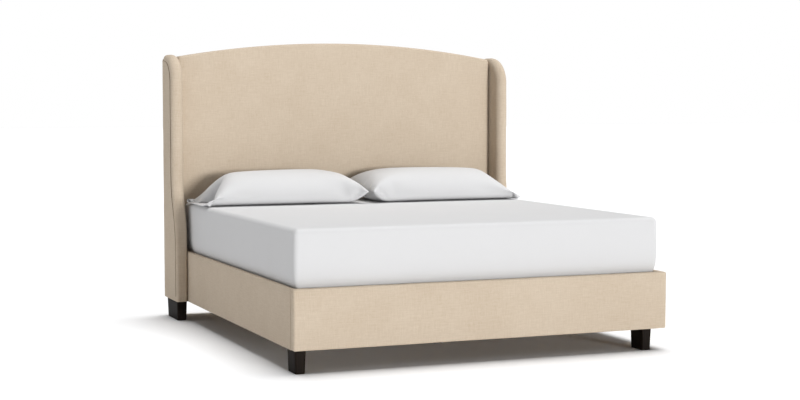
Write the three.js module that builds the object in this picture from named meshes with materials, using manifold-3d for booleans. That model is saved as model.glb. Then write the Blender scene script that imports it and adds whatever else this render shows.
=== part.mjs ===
// King-size upholstered wingback bed: arched headboard, two wings, a box-rail frame on tapered legs,
// a roll of slats on ledgers and a centre beam, a mattress in a fitted sheet and two pillows.
// Millimetres, +Z up. The origin is on the floor under the middle of the bed; the headboard is at +Y.
import * as THREE from "three";
import { mergeVertices } from "three/addons/utils/BufferGeometryUtils.js";
import Module from "manifold-3d";

const wasm = await Module();
wasm.setup();

// Driving dimensions
const OVERALL_LENGTH = 2220;
const OVERALL_WIDTH = 2112;
const BED_WIDTH = 1980;
const LEG_HEIGHT = 107;
const RAIL_HEIGHT = 286;
const MATTRESS_WIDTH = 1930;
const MATTRESS_LENGTH = 2030;
const MATTRESS_THICKNESS = 305;
const MATTRESS_SINK = 31;
const MATTRESS_FOOT_GAP = 4;
const FIT = 0.4;

// Plan positions worked out from them
const FOOT_Y = -OVERALL_LENGTH / 2;
const BACK_Y = OVERALL_LENGTH / 2;
const HALF_BED = BED_WIDTH / 2;
const RAIL_TOP = LEG_HEIGHT + RAIL_HEIGHT;
const SKIN = 3;
const PLATE = 3;
const RETURN_DEPTH = 30;

// Side rails and foot rail
const SIDE_RAIL_THICKNESS = 24.5;
const SIDE_BOARD_THICKNESS = 18;
const SIDE_PAD = 3.6;
const FOOT_RAIL_THICKNESS = 50;
const FOOT_PAD = 6;
const FOOT_BOARD_THICKNESS = 38;
const FOOT_INNER_Y = FOOT_Y + FOOT_RAIL_THICKNESS;

// Mattress and its support
const MATTRESS_FOOT_Y = FOOT_INNER_Y + MATTRESS_FOOT_GAP;
const MATTRESS_BOTTOM = RAIL_TOP - MATTRESS_SINK;
const MATTRESS_TOP = MATTRESS_BOTTOM + MATTRESS_THICKNESS;
const MATTRESS_CORNER = 55;
const MATTRESS_EDGE = 26;
const SHEET_THICKNESS = 1.2;
const SHEET_TUCK = 150;
const SLAT_COUNT = 12;
const SLAT_WIDTH = 89;
const SLAT_THICKNESS = 19;
const SLAT_END_GAP = 6;
const SLAT_TOP = MATTRESS_BOTTOM - FIT;
const LEDGER_TOP = SLAT_TOP - SLAT_THICKNESS - FIT;
const LEDGER_WIDTH = 30;
const LEDGER_HEIGHT = 45;
const STRAP_WIDTH = 25;
const STRAP_THICKNESS = 1.5;
const STRAP_X = 300;
const BEAM_WIDTH = 60;
const BEAM_HEIGHT = 80;
const SHOE_DEPTH = 60;
const BRACKET_ARM = 70;
const BRACKET_MARGIN = 12;

// Headboard
const ARCH_TOP = 1596;
const ARCH_RADIUS = 5620;
const FRAME_DEPTH = 70;
const PANEL_FRONT_Y = BACK_Y - FRAME_DEPTH;
const PANEL_THICKNESS = 12;
const FOAM_DEPTH = 50;
const HEADBOARD_FRONT_Y = PANEL_FRONT_Y - FOAM_DEPTH;
const FOAM_LIFT = 7;
const FOAM_BOTTOM = RAIL_TOP + FOAM_LIFT;
const FOAM_EDGE_RADIUS = 24;
const FRAME_DROP = 10;
const POST_WIDTH = 60;
const CROSS_RAIL_HEIGHT = 90;
const BACK_SKIN = 3;

// Wings
const WING_GAP = 1;
const WING_INNER_X = HALF_BED + WING_GAP;
const WING_THICKNESS = OVERALL_WIDTH / 2 - WING_INNER_X;
const WING_MIDDLE_X = WING_INNER_X + WING_THICKNESS / 2;
const WING_TOP = 1521;
const WING_LOWER_FRONT_Y = 805;
const WING_UPPER_FRONT_Y = 875;
const WING_SWEEP_START_Z = 430;
const WING_SWEEP_END_Z = 850;
const WING_TOP_RADIUS = 160;
const WING_BACK_RADIUS = 30;
const WING_EDGE_RADIUS = 20;
const WING_BOARD_THICKNESS = 30;
const WING_BOARD_INSET = 40;
const WING_BOARD_BACK = 7;

// Legs
const LEG_TAPER = 0.86;
const FRONT_LEG_WIDTH = 54;
const FRONT_LEG_DEPTH = 120;
const FRONT_LEG_SETBACK = 6;
const LEFT_LEG_INSET = 8;
const RIGHT_LEG_INSET = 82;
const BACK_LEG_WIDTH = 58;
const BACK_LEG_DEPTH = 236;
const BACK_LEG_SETBACK = 10;
const LEG_CORNER = 8;
const BLOCK_LENGTH = 150;
const BLOCK_DEPTH = 80;

// Centre legs and their screw feet
const CENTRE_LEG_SIZE = 50;
const CENTRE_LEG_BOTTOM = 45;
const CENTRE_LEG_Y = [-480, 420];
const STUD_RADIUS = 5;
const BORE_RADIUS = 6;
const BORE_DEPTH = 75;
const STUD_TOP = 95;
const HEX_SIDES = 6;
const HEX_RADIUS = 9;
const HEX_BOTTOM = 13;
const HEX_HEIGHT = 7;
const PAD_RADIUS = 24;
const PAD_RIM = 4;
const PAD_HEIGHT = 10;
const ROUND_SIDES = 20;

// Steps in the curves, and how far a cutting tool runs past what it cuts
const ARCH_SEGMENTS = 24;
const CURVE_STEPS = 8;
const BEVEL_STEPS = 2;
const CORNER_STEPS = 4;
const MIN_STEP = 0.05;
const OVERSHOOT = 1;

// Pillows
const PILLOW_X = 490;
const PILLOW_Y = 735;
const PILLOW_HALF = { length: 460, width: 228, height: 112 };
const PILLOW_STEPS = [20, 10];
const PILLOW_RISE = 84;
const PILLOW_CENTRE_Z = MATTRESS_TOP + PILLOW_RISE;
const PILLOW_SQUARENESS = 0.62;
const PILLOW_CREST = 0.8;
const CASE_THICKNESS = 2;
const CASE_CLEARANCE = 1;
const HEM_START = 300;
const HEM_END = 488;
const HEM_HALF_WIDTH = 225;
const HEM_HALF_HEIGHT = 30;
const HEM_DROP = 50;

const COLOURS = {
  linen: { color: 0xcdbca2, roughness: 0.95, metalness: 0 },
  foam: { color: 0xe9e2c4, roughness: 0.9, metalness: 0 },
  cotton: { color: 0xe8e8ea, roughness: 0.85, metalness: 0 },
  espresso: { color: 0x2c2018, roughness: 0.45, metalness: 0 },
  pine: { color: 0xcfae7c, roughness: 0.7, metalness: 0 },
  plywood: { color: 0xb99a6b, roughness: 0.75, metalness: 0 },
  steel: { color: 0x54565a, roughness: 0.4, metalness: 1 },
  nylon: { color: 0x1c1c1e, roughness: 0.5, metalness: 0 },
  lining: { color: 0x2f2f31, roughness: 0.95, metalness: 0 },
};

const bed = new THREE.Group();

function place(name, geometry, look, x = 0, y = 0, z = 0) {
  const mesh = new THREE.Mesh(geometry, new THREE.MeshStandardMaterial(COLOURS[look]));
  mesh.name = name;
  mesh.position.set(x, y, z);
  bed.add(mesh);
  return mesh;
}

// Solids and joins

function slab(x0, x1, y0, y1, z0, z1) {
  const geometry = new THREE.BoxGeometry(x1 - x0, y1 - y0, z1 - z0);
  return geometry.translate((x0 + x1) / 2, (y0 + y1) / 2, (z0 + z1) / 2);
}

function toSolid(geometry) {
  const bare = geometry.clone();
  bare.deleteAttribute("normal");
  bare.deleteAttribute("uv");
  const merged = mergeVertices(bare);
  return new wasm.Manifold(
    new wasm.Mesh({
      numProp: 3,
      vertProperties: new Float32Array(merged.attributes.position.array),
      triVerts: new Uint32Array(merged.index.array),
    }),
  );
}

function toGeometry(solid) {
  const mesh = solid.getMesh();
  const geometry = new THREE.BufferGeometry();
  geometry.setAttribute("position", new THREE.BufferAttribute(mesh.vertProperties, mesh.numProp));
  geometry.setIndex(new THREE.BufferAttribute(mesh.triVerts, 1));
  geometry.computeVertexNormals();
  return geometry;
}

function cut(geometry, ...tools) {
  let solid = toSolid(geometry);
  for (const tool of tools) {
    solid = solid.subtract(toSolid(tool));
  }
  return toGeometry(solid);
}

function join(geometry, ...others) {
  let solid = toSolid(geometry);
  for (const other of others) {
    solid = solid.add(toSolid(other));
  }
  return toGeometry(solid);
}

// The same outline as straight steps, with no two neighbouring points in one place.
function stepped(shape, divisions) {
  const points = shape.getPoints(divisions);
  const kept = points.filter((point, index) => {
    const next = points[(index + 1) % points.length];
    return point.distanceTo(next) > MIN_STEP;
  });
  return new THREE.Shape(kept);
}

// Extrudes a shape by depth along +Z, with rounded rims of the given radius kept inside the outline.
function extrude(shape, depth, edge, divisions) {
  const geometry = new THREE.ExtrudeGeometry(stepped(shape, divisions), {
    depth: depth - 2 * edge,
    bevelEnabled: edge > 0,
    bevelThickness: edge,
    bevelSize: edge,
    bevelOffset: -edge,
    bevelSegments: BEVEL_STEPS,
  });
  return geometry.translate(0, 0, edge);
}

// Extrudes a shape drawn in Y and Z along X, centred on X = 0.
function extrudeAcross(shape, thickness, edge = 0) {
  const axes = new THREE.Matrix4().makeBasis(
    new THREE.Vector3(0, 1, 0),
    new THREE.Vector3(0, 0, 1),
    new THREE.Vector3(1, 0, 0),
  );
  return extrude(shape, thickness, edge, CURVE_STEPS).applyMatrix4(axes).translate(-thickness / 2, 0, 0);
}

// Extrudes a shape drawn in X and Z from y0 to y1, with rounded rims of the given radius.
function extrudeBack(shape, y0, y1, edge = 0) {
  const axes = new THREE.Matrix4().makeBasis(
    new THREE.Vector3(1, 0, 0),
    new THREE.Vector3(0, 0, 1),
    new THREE.Vector3(0, -1, 0),
  );
  return extrude(shape, y1 - y0, edge, CURVE_STEPS).applyMatrix4(axes).translate(0, y1, 0);
}

function roundedRectangle(width, depth, radius) {
  const shape = new THREE.Shape();
  const x = width / 2 - radius;
  const y = depth / 2 - radius;
  shape.absarc(x, y, radius, 0, Math.PI / 2);
  shape.absarc(-x, y, radius, Math.PI / 2, Math.PI);
  shape.absarc(-x, -y, radius, Math.PI, 1.5 * Math.PI);
  shape.absarc(x, -y, radius, 1.5 * Math.PI, 2 * Math.PI);
  shape.closePath();
  return shape;
}

// Headboard

function archHeight(x, drop) {
  const radius = ARCH_RADIUS - drop;
  return ARCH_TOP - ARCH_RADIUS + Math.sqrt(radius * radius - x * x);
}

function archShape(halfWidth, bottom, drop) {
  const shape = new THREE.Shape();
  shape.moveTo(-halfWidth, bottom);
  shape.lineTo(halfWidth, bottom);
  for (let step = 0; step <= ARCH_SEGMENTS; step += 1) {
    const x = halfWidth * (1 - (2 * step) / ARCH_SEGMENTS);
    shape.lineTo(x, archHeight(x, drop));
  }
  shape.closePath();
  return shape;
}

// A slab under the arch with its front rim rounded and its back cut square.
function paddedArch(inset) {
  const rim = FOAM_EDGE_RADIUS - inset;
  const shape = archShape(HALF_BED - inset, FOAM_BOTTOM + inset, inset);
  const full = extrudeBack(shape, HEADBOARD_FRONT_Y + inset, BACK_Y + FOAM_EDGE_RADIUS, rim);
  const backCut = BACK_Y - BACK_SKIN - FIT;
  const behind = slab(-HALF_BED, HALF_BED, backCut, BACK_Y + OVERALL_LENGTH, 0, ARCH_TOP + OVERSHOOT);
  return cut(full, behind);
}

function buildHeadboard() {
  const frameHalf = HALF_BED - SKIN - FIT;
  const frameBack = BACK_Y - BACK_SKIN - FIT;
  const postFront = PANEL_FRONT_Y + PANEL_THICKNESS + FIT;
  const frameBottom = LEG_HEIGHT + PLATE;
  const foamBack = PANEL_FRONT_Y - FIT;

  const coverPocket = paddedArch(SKIN);
  const framePocket = extrudeBack(archShape(HALF_BED - SKIN, 0, SKIN), foamBack, BACK_Y + OVERSHOOT);
  place("headboard_front_cover", cut(paddedArch(0), coverPocket, framePocket), "linen");

  const foamCut = slab(-HALF_BED, HALF_BED, foamBack, BACK_Y + OVERSHOOT, 0, ARCH_TOP + OVERSHOOT);
  place("headboard_foam", cut(paddedArch(SKIN + FIT), foamCut), "foam");

  const panelShape = archShape(frameHalf, frameBottom, SKIN + FIT);
  const panel = extrudeBack(panelShape, PANEL_FRONT_Y, PANEL_FRONT_Y + PANEL_THICKNESS);
  place("headboard_panel", panel, "plywood");

  for (const [side, sign] of [["left", -1], ["right", 1]]) {
    const outer = sign * (frameHalf - FRAME_DROP);
    const inner = sign * (frameHalf - FRAME_DROP - POST_WIDTH);
    const top = archHeight(outer, FRAME_DROP + SKIN);
    const low = Math.min(outer, inner);
    const post = slab(low, low + POST_WIDTH, postFront, frameBack, frameBottom, top);
    place(`headboard_post_${side}`, post, "pine");
  }

  const railHalf = frameHalf - FRAME_DROP - POST_WIDTH - FIT;
  const belowShape = archShape(HALF_BED, -OVERSHOOT, FRAME_DROP + CROSS_RAIL_HEIGHT);
  const topRail = cut(
    extrudeBack(archShape(railHalf, 0, FRAME_DROP + SKIN), postFront, frameBack),
    extrudeBack(belowShape, postFront - OVERSHOOT, frameBack + OVERSHOOT),
  );
  place("headboard_top_rail", topRail, "pine");
  const bottomRailTop = frameBottom + CROSS_RAIL_HEIGHT;
  const bottomRail = slab(-railHalf, railHalf, postFront, frameBack, frameBottom, bottomRailTop);
  place("headboard_bottom_rail", bottomRail, "pine");
  const backShape = archShape(HALF_BED - SKIN, LEG_HEIGHT, SKIN);
  place("headboard_back_cover", extrudeBack(backShape, BACK_Y - BACK_SKIN, BACK_Y), "lining");
}

// Wings

function wingShape({ front, top, back, bottom }) {
  const backY = BACK_Y - back;
  const topZ = WING_TOP - top;
  const lowerY = WING_LOWER_FRONT_Y + front;
  const upperY = WING_UPPER_FRONT_Y + front;
  const frontRadius = WING_TOP_RADIUS - top;
  const middleZ = (WING_SWEEP_START_Z + WING_SWEEP_END_Z) / 2;
  const shape = new THREE.Shape();
  shape.moveTo(backY, bottom);
  shape.lineTo(lowerY, bottom);
  shape.lineTo(lowerY, WING_SWEEP_START_Z);
  shape.bezierCurveTo(lowerY, middleZ, upperY, middleZ, upperY, WING_SWEEP_END_Z);
  shape.lineTo(upperY, topZ - frontRadius);
  shape.absarc(upperY + frontRadius, topZ - frontRadius, frontRadius, Math.PI, Math.PI / 2, true);
  shape.lineTo(backY - WING_BACK_RADIUS, topZ);
  shape.absarc(backY - WING_BACK_RADIUS, topZ - WING_BACK_RADIUS, WING_BACK_RADIUS, Math.PI / 2, 0, true);
  shape.closePath();
  return shape;
}

function wingForm(inset, bottom) {
  const shape = wingShape({ front: inset, top: inset, back: inset, bottom });
  return extrudeAcross(shape, WING_THICKNESS - 2 * inset, WING_EDGE_RADIUS - inset);
}

// Everything in the headboard's half of the bed below a height.
function lowerRegion(top) {
  return slab(-OVERALL_WIDTH, OVERALL_WIDTH, 0, OVERALL_LENGTH, -OVERALL_LENGTH, top);
}

function buildWings() {
  const boardFit = WING_BOARD_THICKNESS + 2 * FIT;
  const below = LEG_HEIGHT - 2 * WING_EDGE_RADIUS;
  const board = { front: WING_BOARD_INSET, top: WING_BOARD_INSET, back: WING_BOARD_BACK };
  const pocket = {
    front: WING_BOARD_INSET - FIT,
    top: WING_BOARD_INSET - FIT,
    back: -WING_EDGE_RADIUS,
    bottom: below,
  };
  for (const [side, sign] of [["left", -1], ["right", 1]]) {
    const x = sign * WING_MIDDLE_X;
    const boardShape = wingShape({ ...board, bottom: LEG_HEIGHT + FIT });
    place(`wing_board_${side}`, extrudeAcross(boardShape, WING_BOARD_THICKNESS), "plywood", x);
    const boardPocket = extrudeAcross(wingShape(pocket), boardFit);
    const padding = cut(wingForm(SKIN + FIT, below), boardPocket, lowerRegion(LEG_HEIGHT + SKIN));
    place(`wing_padding_${side}`, padding, "foam", x);
    const inside = wingForm(SKIN, below - WING_EDGE_RADIUS);
    const cover = cut(wingForm(0, below), inside, lowerRegion(LEG_HEIGHT));
    place(`wing_cover_${side}`, cover, "linen", x);
  }
}

// Box rails

function buildSideRails() {
  const front = FOOT_INNER_Y + FIT;
  const back = PANEL_FRONT_Y - FIT;
  const innerX = HALF_BED - SIDE_RAIL_THICKNESS;
  const boardOuter = HALF_BED - SIDE_PAD - FIT;
  const boardInner = boardOuter - SIDE_BOARD_THICKNESS;
  const outline = [
    [innerX, LEG_HEIGHT],
    [HALF_BED, LEG_HEIGHT],
    [HALF_BED, RAIL_TOP],
    [innerX, RAIL_TOP],
    [innerX, RAIL_TOP - RETURN_DEPTH],
    [boardInner - FIT, RAIL_TOP - RETURN_DEPTH],
    [boardInner - FIT, RAIL_TOP - SIDE_PAD],
    [boardOuter + FIT, RAIL_TOP - SIDE_PAD],
    [boardOuter + FIT, LEG_HEIGHT + SIDE_PAD],
    [boardInner - FIT, LEG_HEIGHT + SIDE_PAD],
    [boardInner - FIT, LEG_HEIGHT + RETURN_DEPTH],
    [innerX, LEG_HEIGHT + RETURN_DEPTH],
  ];
  for (const [side, sign] of [["left", -1], ["right", 1]]) {
    const shape = new THREE.Shape();
    shape.setFromPoints(outline.map(([x, z]) => new THREE.Vector2(sign * x, z)));
    place(`side_rail_cover_${side}`, extrudeBack(shape, front, back), "linen");
    const low = LEG_HEIGHT + SIDE_PAD + FIT;
    const high = RAIL_TOP - SIDE_PAD - FIT;
    const x0 = Math.min(sign * boardInner, sign * boardOuter);
    const board = slab(x0, x0 + SIDE_BOARD_THICKNESS, front, back, low, high);
    place(`side_rail_board_${side}`, board, "plywood");
  }
}

function buildFootRail() {
  const boardHalf = HALF_BED - FOOT_PAD;
  const boardFront = FOOT_Y + FOOT_PAD;
  const boardBack = boardFront + FOOT_BOARD_THICKNESS;
  const low = LEG_HEIGHT + SIDE_PAD;
  const high = RAIL_TOP - SIDE_PAD;
  const outer = slab(-HALF_BED, HALF_BED, FOOT_Y, FOOT_INNER_Y, LEG_HEIGHT, RAIL_TOP);
  const pocket = slab(-boardHalf, boardHalf, boardFront, boardBack + FIT, low, high);
  const openX = HALF_BED - SIDE_RAIL_THICKNESS;
  const openBottom = LEG_HEIGHT + RETURN_DEPTH;
  const openTop = RAIL_TOP - RETURN_DEPTH;
  const opening = slab(-openX, openX, boardFront, BACK_Y, openBottom, openTop);
  place("foot_rail_cover", cut(outer, pocket, opening), "linen");
  const boardEnd = boardHalf - FIT;
  const board = slab(-boardEnd, boardEnd, boardFront + FIT, boardBack, low + FIT, high - FIT);
  place("foot_rail_board", board, "pine");
}

// Supports inside the rails

function buildLedgersAndBlocks() {
  const railInner = HALF_BED - SIDE_PAD - SIDE_BOARD_THICKNESS - 2 * FIT;
  const blockFront = FOOT_INNER_Y + FIT;
  const blockBack = blockFront + BLOCK_DEPTH;
  const blockOuter = HALF_BED - SIDE_RAIL_THICKNESS - FIT;
  for (const [side, sign] of [["left", -1], ["right", 1]]) {
    const ledgerX = sign * (railInner - LEDGER_WIDTH / 2);
    const ledger = slab(
      ledgerX - LEDGER_WIDTH / 2,
      ledgerX + LEDGER_WIDTH / 2,
      blockBack + FIT,
      PANEL_FRONT_Y - PLATE - 2 * FIT,
      LEDGER_TOP - LEDGER_HEIGHT,
      LEDGER_TOP,
    );
    place(`side_ledger_${side}`, ledger, "pine");
    const blockX = sign * (blockOuter - BLOCK_LENGTH / 2);
    const blockLow = blockX - BLOCK_LENGTH / 2;
    const blockHigh = blockX + BLOCK_LENGTH / 2;
    const block = slab(blockLow, blockHigh, blockFront, blockBack, LEG_HEIGHT, LEDGER_TOP);
    place(`corner_block_${side}`, block, "pine");
  }
}

// Angle plate that ties a side rail's end to the headboard panel.
function buildRailBrackets() {
  const railFace = HALF_BED - SIDE_RAIL_THICKNESS - FIT;
  const panelFace = PANEL_FRONT_Y - FIT;
  const low = LEG_HEIGHT + RETURN_DEPTH + BRACKET_MARGIN;
  const high = LEDGER_TOP - LEDGER_HEIGHT - BRACKET_MARGIN;
  for (const [side, sign] of [["left", -1], ["right", 1]]) {
    const shape = new THREE.Shape();
    const outline = [
      [railFace, panelFace - BRACKET_ARM],
      [railFace, panelFace],
      [railFace - BRACKET_ARM, panelFace],
      [railFace - BRACKET_ARM, panelFace - PLATE],
      [railFace - PLATE, panelFace - PLATE],
      [railFace - PLATE, panelFace - BRACKET_ARM],
    ];
    shape.setFromPoints(outline.map(([x, y]) => new THREE.Vector2(sign * x, y)));
    place(`rail_bracket_${side}`, extrude(shape, high - low, 0, CORNER_STEPS), "steel", 0, 0, low);
  }
}

// Open-topped steel shoe that carries one end of the centre beam.
function beamShoe() {
  const half = BEAM_WIDTH / 2 + FIT + PLATE;
  const wall = half - PLATE;
  const outer = slab(-half, half, 0, SHOE_DEPTH, -PLATE - FIT, BEAM_HEIGHT);
  const pocket = slab(-wall, wall, PLATE, SHOE_DEPTH + OVERSHOOT, -FIT, BEAM_HEIGHT + OVERSHOOT);
  return cut(outer, pocket);
}

function buildCentreBeam() {
  const beamBottom = LEDGER_TOP - BEAM_HEIGHT;
  const footFace = FOOT_Y + FOOT_PAD + FOOT_BOARD_THICKNESS + FIT;
  const headFace = PANEL_FRONT_Y - FIT;
  const start = footFace + PLATE + FIT;
  const end = headFace - PLATE - FIT;
  const beam = slab(-BEAM_WIDTH / 2, BEAM_WIDTH / 2, start, end, beamBottom, LEDGER_TOP);
  place("centre_beam", beam, "pine");
  place("beam_shoe_foot", beamShoe(), "steel", 0, footFace, beamBottom);
  const headShoe = place("beam_shoe_head", beamShoe(), "steel", 0, headFace, beamBottom);
  headShoe.rotation.z = Math.PI;
}

function buildSlats() {
  const first = MATTRESS_FOOT_Y + SLAT_END_GAP + SLAT_WIDTH / 2;
  const last = MATTRESS_FOOT_Y + MATTRESS_LENGTH - SLAT_END_GAP - SLAT_WIDTH / 2;
  const pitch = (last - first) / (SLAT_COUNT - 1);
  const length = MATTRESS_WIDTH - SLAT_END_GAP;
  for (let index = 0; index < SLAT_COUNT; index += 1) {
    const slat = new THREE.BoxGeometry(length, SLAT_WIDTH, SLAT_THICKNESS);
    const label = String(index + 1).padStart(2, "0");
    place(`slat_${label}`, slat, "pine", 0, first + index * pitch, SLAT_TOP - SLAT_THICKNESS / 2);
  }
  const strapLength = last - first + SLAT_WIDTH;
  for (const [side, sign] of [["left", -1], ["right", 1]]) {
    const strap = new THREE.BoxGeometry(STRAP_WIDTH, strapLength, STRAP_THICKNESS);
    const z = SLAT_TOP - SLAT_THICKNESS - FIT - STRAP_THICKNESS / 2;
    place(`slat_strap_${side}`, strap, "nylon", sign * STRAP_X, (first + last) / 2, z);
  }
}

// Legs

function taperedLeg(width, depth) {
  const height = LEG_HEIGHT - FIT;
  const shape = roundedRectangle(width, depth, LEG_CORNER);
  const geometry = extrude(shape, height, 0, CORNER_STEPS);
  const position = geometry.attributes.position;
  for (let index = 0; index < position.count; index += 1) {
    const t = position.getZ(index) / height;
    const loss = ((1 - LEG_TAPER) * FRONT_LEG_WIDTH * (1 - t)) / 2;
    const x = position.getX(index);
    const y = position.getY(index);
    const scaleX = 1 - (2 * loss) / width;
    const scaleY = 1 - (2 * loss) / depth;
    position.setXY(index, x * scaleX, y * scaleY);
  }
  return geometry;
}

function buildLegs() {
  const frontY = FOOT_Y + FRONT_LEG_SETBACK + FRONT_LEG_DEPTH / 2;
  const leftX = -HALF_BED + LEFT_LEG_INSET + FRONT_LEG_WIDTH / 2;
  const rightX = HALF_BED - RIGHT_LEG_INSET - FRONT_LEG_WIDTH / 2;
  place("leg_front_left", taperedLeg(FRONT_LEG_WIDTH, FRONT_LEG_DEPTH), "espresso", leftX, frontY);
  place("leg_front_right", taperedLeg(FRONT_LEG_WIDTH, FRONT_LEG_DEPTH), "espresso", rightX, frontY);
  const backY = WING_LOWER_FRONT_Y + BACK_LEG_SETBACK + BACK_LEG_DEPTH / 2;
  for (const [side, sign] of [["left", -1], ["right", 1]]) {
    const leg = taperedLeg(BACK_LEG_WIDTH, BACK_LEG_DEPTH);
    place(`leg_back_${side}`, leg, "espresso", sign * WING_MIDDLE_X, backY);
  }
}

function buildCentreLegs() {
  const half = CENTRE_LEG_SIZE / 2;
  const top = LEDGER_TOP - BEAM_HEIGHT - FIT;
  CENTRE_LEG_Y.forEach((y, index) => {
    const label = index + 1;
    const boreLength = BORE_DEPTH + OVERSHOOT;
    const bore = new THREE.CylinderGeometry(BORE_RADIUS, BORE_RADIUS, boreLength, ROUND_SIDES);
    bore.rotateX(Math.PI / 2).translate(0, 0, CENTRE_LEG_BOTTOM - OVERSHOOT + boreLength / 2);
    const timber = slab(-half, half, -half, half, CENTRE_LEG_BOTTOM, top);
    place(`centre_leg_${label}`, cut(timber, bore), "pine", 0, y);

    const rodBottom = PAD_HEIGHT + FIT;
    const rod = new THREE.CylinderGeometry(STUD_RADIUS, STUD_RADIUS, STUD_TOP - rodBottom, ROUND_SIDES);
    rod.rotateX(Math.PI / 2).translate(0, 0, (STUD_TOP + rodBottom) / 2);
    const hex = new THREE.CylinderGeometry(HEX_RADIUS, HEX_RADIUS, HEX_HEIGHT, HEX_SIDES);
    hex.rotateX(Math.PI / 2).translate(0, 0, HEX_BOTTOM + HEX_HEIGHT / 2);
    place(`foot_screw_${label}`, join(rod, hex), "steel", 0, y);

    const profile = [
      [0, 0],
      [PAD_RADIUS, 0],
      [PAD_RADIUS, PAD_RIM],
      [HEX_RADIUS, PAD_HEIGHT],
      [0, PAD_HEIGHT],
    ].map(([radius, height]) => new THREE.Vector2(radius, height));
    const pad = new THREE.LatheGeometry(profile, ROUND_SIDES).rotateX(Math.PI / 2);
    place(`foot_pad_${label}`, pad, "nylon", 0, y);
  });
}

// Bedding

function roundedBlock(width, length, height, corner, edge) {
  return extrude(roundedRectangle(width, length, corner), height, edge, CORNER_STEPS);
}

function buildMattress() {
  const y = MATTRESS_FOOT_Y + MATTRESS_LENGTH / 2;
  const layer = SHEET_THICKNESS + FIT;
  const core = (gap) =>
    roundedBlock(
      MATTRESS_WIDTH - 2 * gap,
      MATTRESS_LENGTH - 2 * gap,
      MATTRESS_THICKNESS - 2 * gap,
      MATTRESS_CORNER - gap,
      MATTRESS_EDGE - gap,
    ).translate(0, 0, gap);
  const halfX = MATTRESS_WIDTH / 2 - SHEET_TUCK;
  const halfY = MATTRESS_LENGTH / 2 - SHEET_TUCK;
  const opening = slab(-halfX, halfX, -halfY, halfY, -OVERSHOOT, MATTRESS_THICKNESS / 2);
  place("mattress", core(layer), "cotton", 0, y, MATTRESS_BOTTOM);
  place("fitted_sheet", cut(core(0), core(SHEET_THICKNESS), opening), "cotton", 0, y, MATTRESS_BOTTOM);
}

// A number to a power, with its sign kept.
function signedPower(value, power) {
  return Math.sign(value) * Math.abs(value) ** power;
}

// A plump cushion form: square in plan with rounded corners and a domed top.
function pillowForm(grow) {
  const geometry = new THREE.SphereGeometry(1, ...PILLOW_STEPS).rotateX(Math.PI / 2);
  const position = geometry.attributes.position;
  const point = new THREE.Vector3();
  for (let index = 0; index < position.count; index += 1) {
    point.fromBufferAttribute(position, index);
    const reach = Math.hypot(point.x, point.y) ** PILLOW_CREST;
    const angle = Math.atan2(point.y, point.x);
    const x = reach * signedPower(Math.cos(angle), PILLOW_SQUARENESS);
    const y = reach * signedPower(Math.sin(angle), PILLOW_SQUARENESS);
    position.setXYZ(
      index,
      x * (PILLOW_HALF.length + grow),
      y * (PILLOW_HALF.width + grow),
      point.z * (PILLOW_HALF.height + grow),
    );
  }
  return geometry;
}

// Flat-sided sleeve that runs past the pillow's outer end.
function hemForm(grow, extra, sign) {
  const width = 2 * (HEM_HALF_WIDTH + grow);
  const height = 2 * (HEM_HALF_HEIGHT + grow);
  const shape = roundedRectangle(width, height, HEM_HALF_HEIGHT);
  const sleeve = extrudeAcross(shape, HEM_END - HEM_START + 2 * extra);
  return sleeve.translate((sign * (HEM_START + HEM_END)) / 2, 0, -HEM_DROP);
}

// Everything under a pillow that lies lift above its resting face.
function belowPillow(lift) {
  const top = MATTRESS_TOP + FIT - PILLOW_CENTRE_Z + lift;
  const reach = OVERALL_WIDTH;
  return slab(-reach, reach, -reach, reach, -reach, top);
}

function buildPillows() {
  const inner = CASE_CLEARANCE;
  const outer = CASE_CLEARANCE + CASE_THICKNESS;
  for (const [side, sign] of [["left", -1], ["right", 1]]) {
    const filling = cut(pillowForm(0), belowPillow(outer));
    place(`pillow_${side}`, filling, "cotton", sign * PILLOW_X, PILLOW_Y, PILLOW_CENTRE_Z);
    const solidCase = join(pillowForm(outer), hemForm(outer, 0, sign));
    const hollow = join(pillowForm(inner), hemForm(inner, CASE_THICKNESS, sign));
    const space = cut(hollow, belowPillow(CASE_THICKNESS));
    const shell = cut(solidCase, belowPillow(0), space);
    place(`pillowcase_${side}`, shell, "cotton", sign * PILLOW_X, PILLOW_Y, PILLOW_CENTRE_Z);
  }
}

buildHeadboard();
buildWings();
buildSideRails();
buildFootRail();
buildLedgersAndBlocks();
buildRailBrackets();
buildCentreBeam();
buildSlats();
buildLegs();
buildCentreLegs();
buildMattress();
buildPillows();

export default bed;
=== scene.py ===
"""King-size wingback bed: fabric upholstery, a mattress in a fitted sheet, two pillows, dark legs."""

import math

import bmesh
import bpy
import numpy as np
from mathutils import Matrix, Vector, noise


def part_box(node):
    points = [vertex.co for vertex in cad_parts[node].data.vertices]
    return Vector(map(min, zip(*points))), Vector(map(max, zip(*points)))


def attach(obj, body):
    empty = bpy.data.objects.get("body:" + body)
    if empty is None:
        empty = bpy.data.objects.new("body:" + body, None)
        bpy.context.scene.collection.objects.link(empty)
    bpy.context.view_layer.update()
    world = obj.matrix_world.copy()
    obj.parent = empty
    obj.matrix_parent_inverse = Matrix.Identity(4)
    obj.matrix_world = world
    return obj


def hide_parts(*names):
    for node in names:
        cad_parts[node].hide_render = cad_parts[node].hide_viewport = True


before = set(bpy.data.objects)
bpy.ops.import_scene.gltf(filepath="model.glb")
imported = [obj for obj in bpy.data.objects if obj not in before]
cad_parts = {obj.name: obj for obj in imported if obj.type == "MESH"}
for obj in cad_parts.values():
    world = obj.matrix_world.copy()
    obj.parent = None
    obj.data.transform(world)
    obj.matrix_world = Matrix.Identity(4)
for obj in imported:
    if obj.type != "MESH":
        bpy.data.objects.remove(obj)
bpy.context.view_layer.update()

# The camera stands in front of the foot, left of the bed, and looks a little down.
CAMERA_PLACE = (-3.205, -7.829, 1.259)
CAMERA_TURN = math.radians(-22.19)
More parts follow.
